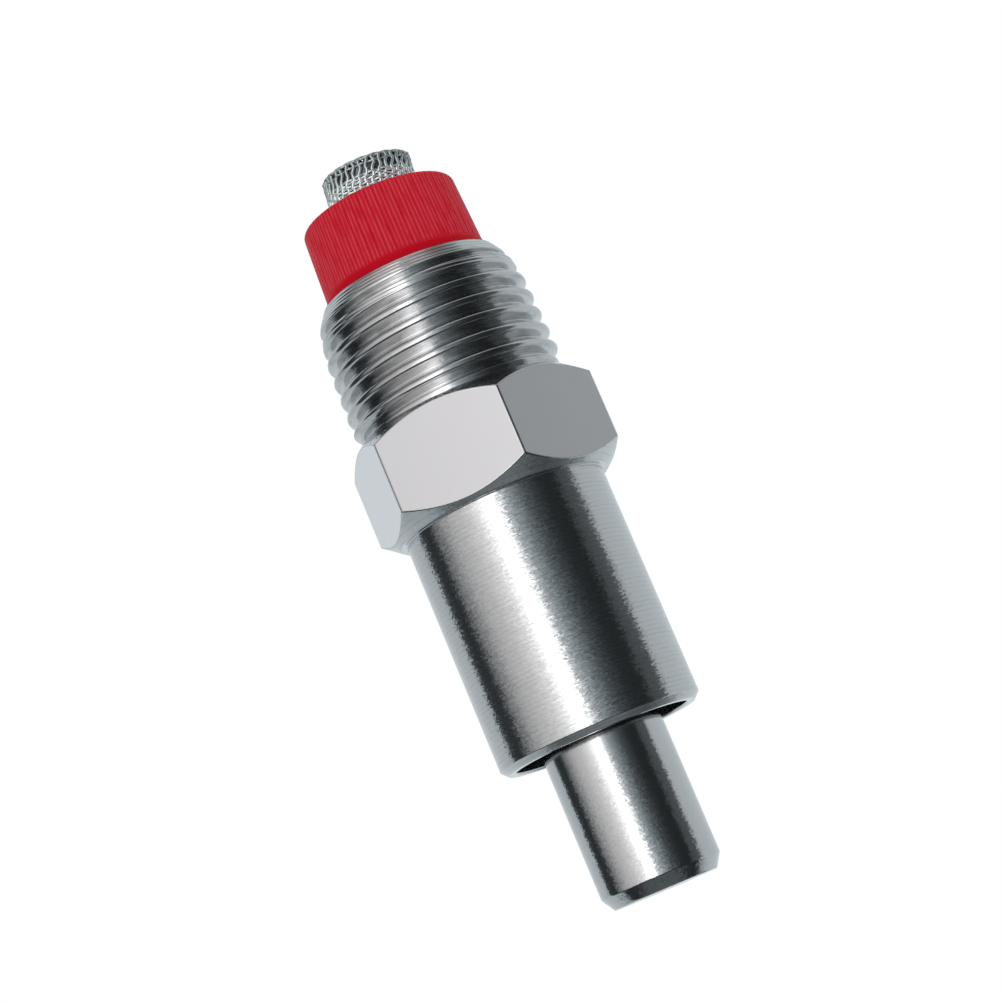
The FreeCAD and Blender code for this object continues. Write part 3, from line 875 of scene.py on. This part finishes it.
studio = {
    # floor and lamps, in metres; a lamp has its name, place, width and height, and power
    "floorHeight": -0.25, "floorSize": 2.0, "floorColour": (0.9, 0.9, 0.9, 1), "floorRoughness": 0.9,
    "lamps": [
        ("softBox", (-0.30, -0.52, 0.25), (0.30, 0.50), 1.0),
        ("topFill", (0.25, 0.05, 0.60), (0.50, 0.50), 0.6),
    ],
    "domeLevel": 0.75,                  # what plain surfaces get from all round
    "coolTint": (0.84, 1.0, 1.07), "brightest": 4.0,
    # what polished metal sees round the horizon: angle from the camera to its right, level, coolness
    "horizon": [
        (-180, 0.80, 0.5), (-152, 0.70, 0.5), (-140, 0.64, 0.5), (-117, 0.60, 0.6),
        (-112, 0.06, 1), (-98, 0.035, 1), (-91, 0.05, 0.8), (-86, 0.20, 0.4),
        (-79, 0.30, 0.2), (-71, 0.47, 0.1), (-60, 0.64, 0), (-50, 0.73, 0),
        (-40, 0.89, 0), (-30, 1.15, 0), (-22, 1.62, 0), (-14, 2.30, 0), (-7, 2.10, 0), (0, 0.80, 0.4),
        (8, 0.44, 0.8), (16, 0.28, 1), (23, 0.16, 1), (32, 0.08, 1), (45, 0.034, 1), (64, 0.026, 1),
        (70, 0.09, 0.6), (80, 0.11, 0.6), (87, 0.11, 1), (92, 0.54, 0.4),
        (98, 0.60, 0.4), (115, 0.64, 0.6), (152, 0.70, 0.6), (180, 0.80, 0.5),
    ],
    # what it sees below, by the ray's fall: near the camera, and beyond the object to the left and right
    "belowCool": 0.8,
    "nearBelow": [(0.0, 0.03), (0.78, 0.03), (0.86, 0.12), (0.93, 0.14), (0.985, 0.22), (1.0, 0.24)],
    "leftBelow": [(0.0, 0.62), (0.55, 0.56), (0.80, 0.50), (0.88, 0.30), (0.95, 0.16), (1.0, 0.24)],
    "rightBelow": [
        (0.0, 0.62), (0.55, 0.50), (0.68, 0.28), (0.76, 0.18), (0.87, 0.09), (0.95, 0.08), (1.0, 0.24),
    ],
    # and above, as level and coolness: near the camera, beyond the object and overhead
    "nearAbove": (0.40, 0), "farAbove": (0.18, 0.6), "zenith": (0.74, 0.2),
    # where one of these turns into the next, as shares of the ray's direction
    "farFrom": (0.05, 0.22), "rightFrom": (-0.30, -0.05),
    "belowFrom": (0.46, 0.68), "aboveFrom": (0.72, 0.92), "zenithFrom": (0.93, 0.985),
}


def paintWorld():
    # azimuth = atan2(d . right, d . camera); level = ramp(azimuth) near the horizon,
    # and other levels above and below, by the direction's height
    world = bpy.data.worlds.new("studio")
    scene.world = world
    world.use_nodes = True
    tree = Shader(world.node_tree)
    brightest = studio["brightest"]

    def tinted(level, cool):
        # a grey level moved towards the cool tint, as a share of the brightest
        return tuple(level / brightest * (1 + cool * (tint - 1)) for tint in studio["coolTint"])

    def sky(name):
        return (*tinted(*studio[name]), 1)

    direction = tree.node("ShaderNodeTexCoord", None, None, "Generated")
    ahead = tree.vector("DOT_PRODUCT", direction, tuple(map(float, towardsCamera)), "Value")
    across = tree.vector("DOT_PRODUCT", direction, tuple(map(float, cameraRight)), "Value")
    rise = tree.part(direction, 2)
    fall = rise * -1.0
    far = tree.smooth(ahead * -1.0, *studio["farFrom"])
    turn = across.math("ARCTAN2", ahead).math("DIVIDE", 2 * math.pi) + 0.5
    stops = [(degrees / 360 + 0.5, tinted(level, cool)) for degrees, level, cool in studio["horizon"]]
    level = tree.ramp(turn, stops)
    near, left, right = (
        tree.ramp(fall, [(place, tinted(grey, studio["belowCool"])) for place, grey in studio[side]])
        for side in ("nearBelow", "leftBelow", "rightBelow")
    )
    beyond = tree.blend(tree.smooth(across, *studio["rightFrom"]), left, right)
    below = tree.blend(far, near, beyond)
    above = tree.blend(far, sky("nearAbove"), sky("farAbove"))
    above = tree.blend(tree.smooth(rise, *studio["zenithFrom"]), above, sky("zenith"))
    level = tree.blend(tree.smooth(fall, *studio["belowFrom"]), level, below)
    level = tree.blend(tree.smooth(rise, *studio["aboveFrom"]), level, above)
    white = (1, 1, 1, 1)
    camera = tree.node("ShaderNodeLightPath", None, None, "Is Camera Ray")
    glossy = tree.node("ShaderNodeLightPath", None, None, "Is Glossy Ray")
    mirrored = tree.node("ShaderNodeBackground", None, {"Color": level, "Strength": brightest})
    plain = tree.node("ShaderNodeBackground", None, {"Color": white, "Strength": studio["domeLevel"]})
    backdrop = tree.node("ShaderNodeBackground", None, {"Color": white, "Strength": 1.0})
    light = tree.node("ShaderNodeMixShader", None, {0: glossy, 1: plain, 2: mirrored})
    seen = tree.node("ShaderNodeMixShader", None, {0: camera, 1: light, 2: backdrop})
    tree.node("ShaderNodeOutputWorld", None, {"Surface": seen})
    world.cycles.sampling_method = "NONE"


def floorPaint(tree):
    return {"Base Color": studio["floorColour"], "Roughness": studio["floorRoughness"]}


def addFloor():
    half, z = studio["floorSize"] / 2, studio["floorHeight"]
    corners = [(-half, -half, z), (half, -half, z), (half, half, z), (-half, half, z)]
    mesh = bpy.data.meshes.new("floor")
    mesh.from_pydata(corners, [], [(0, 1, 2, 3)])
    mesh.materials.append(newMaterial("paleFloor", floorPaint))
    floor = bpy.data.objects.new("floor", mesh)
    scene.collection.objects.link(floor)
    floor.visible_glossy = False


def addLamp(name, place, size, power):
    lamp = bpy.data.lights.new(name, "AREA")
    lamp.shape = "RECTANGLE"
    lamp.size, lamp.size_y = size
    lamp.energy = power
    holder = bpy.data.objects.new(name, lamp)
    scene.collection.objects.link(holder)
    holder.location = place
    holder.rotation_euler = (-Vector(place)).to_track_quat("-Z", "Y").to_euler()
    holder.visible_glossy = False


paintWorld()
addFloor()
for lamp in studio["lamps"]:
    addLamp(*lamp)


# Camera at the photo's viewing angle: a little below the object, rolled by its slant

cameraSizes = {
    "distance": 228.2, "elevation": -10.83, "roll": 22.97, "aimHeight": -9.33, "aimAcross": -0.065,
    "pixelsPerMm": 10.643, "imageWidth": 1002, "sensorWidth": 36, "clip": (50, 20000),
}


def addCamera(sizes):
    # the image's right = cos(roll) right0 - sin(roll) up0, and its up = sin(roll) right0 + cos(roll) up0
    rise, roll = math.radians(sizes["elevation"]), math.radians(sizes["roll"])
    back = Vector(towardsCamera) * math.cos(rise) + Vector((0, 0, math.sin(rise)))
    right0 = Vector(cameraRight)
    up0 = back.cross(right0)
    right = right0 * math.cos(roll) - up0 * math.sin(roll)
    up = right0 * math.sin(roll) + up0 * math.cos(roll)
    data = bpy.data.cameras.new("camera")
    data.sensor_width = sizes["sensorWidth"]
    data.lens = sizes["pixelsPerMm"] * sizes["distance"] / sizes["imageWidth"] * data.sensor_width
    data.clip_start, data.clip_end = (reach * mm for reach in sizes["clip"])
    camera = bpy.data.objects.new("camera", data)
    scene.collection.objects.link(camera)
    place = Vector((0, 0, sizes["aimHeight"])) + right0 * sizes["aimAcross"] + back * sizes["distance"]
    matrix = Matrix((right, up, back)).transposed().to_4x4()
    matrix.translation = place * mm
    camera.matrix_world = matrix
    scene.camera = camera


addCamera(cameraSizes)
scene.view_settings.view_transform = "Standard"
print("stage set")
